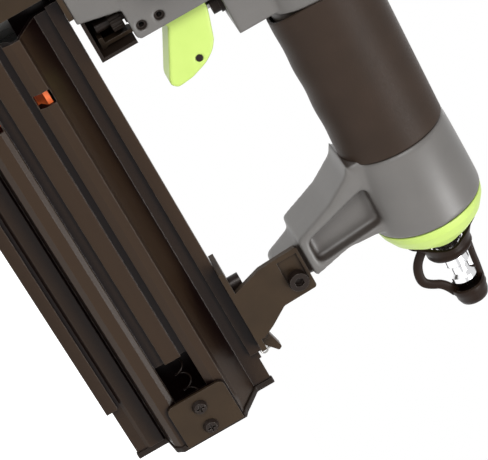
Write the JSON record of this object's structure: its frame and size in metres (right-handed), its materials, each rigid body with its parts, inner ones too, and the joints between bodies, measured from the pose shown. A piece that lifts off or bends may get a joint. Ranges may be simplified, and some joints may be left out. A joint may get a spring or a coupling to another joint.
{
  "type": "pneumatic brad nailer",
  "caption": "Pneumatic brad nailer with an upright barrel, rubber-sleeved handle, finger trigger, rear leg, air plug and a long side-loading magazine below the handle.",
  "frame": {"origin": "middle of the work contact's foot, on the drive axis, in the plane that rests on the work", "axes": "+Z opposite to the driving direction, +X rearward along the handle and magazine, -Y the tool's left side"},
  "size_m": [0.2742, 0.066, 0.2391],
  "materials": {
    "cast_grey": "satin cast body",
    "cap_grey": "satin cast cap",
    "rubber_black": "matt",
    "grip_rubber": "soft matt",
    "lime": "moulded, lightly textured",
    "orange": "moulded",
    "black_extrusion": "satin anodised",
    "black_steel": "satin blackened sheet",
    "black_plastic": "moulded",
    "steel": "ground",
    "chrome": "polished",
    "alloy": "machined",
    "white_plastic": "moulded",
    "screw_black": "black oxide"
  },
  "bodies": {
    "root": {"body_housing": "cast_grey", "cap_gasket": "rubber_black", "cylinder_cap": "cap_grey", "cap_screws": "screw_black", "deflector_screw": "screw_black", "cylinder_sleeve": "alloy", "bumper": "rubber_black", "head_valve_spring": "steel", "grip_sleeve": "grip_rubber", "end_cap": "lime", "end_cap_seal": "rubber_black", "air_plug": "chrome", "dust_cover": "rubber_black", "trigger_pin": "screw_black", "lug_pin": "screw_black", "valve_body": "black_plastic", "valve_spring": "steel", "depth_stud": "steel", "adjuster_shroud": "black_plastic", "nose_guide": "black_steel", "rail_front_screws": "screw_black", "nose_plate": "black_steel", "nose_screws": "screw_black", "contact_spring": "steel", "magazine_rail": "black_extrusion", "magazine_bracket": "black_steel", "leg_screw": "screw_black", "rail_screw": "screw_black", "latch_pin": "screw_black"},
    "deflector": {"exhaust_deflector": "black_plastic"},
    "piston": {"piston_driver": "steel", "piston_ring": "rubber_black"},
    "main_valve": {"head_valve": "white_plastic"},
    "trigger": {"trigger": "lime", "trip_lever_pin": "screw_black"},
    "trip": {"trip_lever": "steel"},
    "stem": {"valve_stem": "steel"},
    "adjuster": {"depth_wheel": "black_plastic"},
    "contact": {"work_contact": "black_steel", "no_mar_tip": "rubber_black"},
    "cover": {"magazine_cover": "black_extrusion", "cover_end_cap": "black_plastic", "cover_end_plate": "black_steel", "end_plate_screws": "screw_black", "pusher_spring": "steel"},
    "pusher": {"nail_pusher": "steel", "level_indicator": "orange"},
    "latch": {"latch_lever": "black_steel", "latch_bail": "steel"}
  },
  "joints": [
    {"name": "trigger_pull", "type": "hinge", "parent": "root", "child": "trigger", "pos_m": [0.0406, 0, 0.1213], "axis": [0, -1, 0], "range_deg": [0, 8], "stiffness_Nm_per_rad": 0.6, "springref_deg": -5.73},
    {"name": "trip_lever_tilt", "type": "hinge", "parent": "trigger", "child": "trip", "pos_m": [0.0682, 0, 0.127], "axis": [0, 1, 0], "range_deg": [0, 11.6]},
    {"name": "valve_stem_slide", "type": "slide", "parent": "root", "child": "stem", "axis": [0, 0, 1], "range_m": [0, 0.0021], "deforming": ["valve_spring"]},
    {"name": "contact_press", "type": "slide", "parent": "root", "child": "contact", "axis": [0, 0, 1], "range_m": [0, 0.0048], "stiffness_N_per_m": 1500, "springref_m": -0.04, "deforming": ["contact_spring"]},
    {"name": "depth_wheel_turn", "type": "hinge", "parent": "root", "child": "adjuster", "pos_m": [0.0366, 0, 0.105], "axis": [0, 0, 1], "continuous": true},
    {"name": "piston_stroke", "type": "slide", "parent": "root", "child": "piston", "axis": [0, 0, -1], "range_m": [0, 0.072]},
    {"name": "head_valve_lift", "type": "slide", "parent": "root", "child": "main_valve", "axis": [0, 0, 1], "range_m": [0, 0.004], "stiffness_N_per_m": 400, "springref_m": -0.003, "deforming": ["head_valve_spring"]},
    {"name": "deflector_turn", "type": "hinge", "parent": "root", "child": "deflector", "pos_m": [0, 0, 0.233], "axis": [0, 0, 1], "continuous": true},
    {"name": "cover_slide", "type": "slide", "parent": "root", "child": "cover", "axis": [1, 0, 0], "range_m": [0, 0.15]},
    {"name": "pusher_slide", "type": "slide", "parent": "cover", "child": "pusher", "axis": [1, 0, 0], "range_m": [0, 0.148], "stiffness_N_per_m": 15, "springref_m": -0.06, "deforming": ["pusher_spring"]},
    {"name": "latch_lift", "type": "hinge", "parent": "root", "child": "latch", "pos_m": [0.1995, 0, 0.0934], "axis": [0, -1, 0], "range_deg": [0, 20], "stiffness_Nm_per_rad": 0.03, "springref_deg": -22.92}
  ],
  "couplings": [
    {"joint": "valve_stem_slide", "follows": "trigger_pull", "m_per_rad": 0.0143},
    {"joint": "trip_lever_tilt", "follows": "contact_press", "rad_per_m": 42}
  ]
}
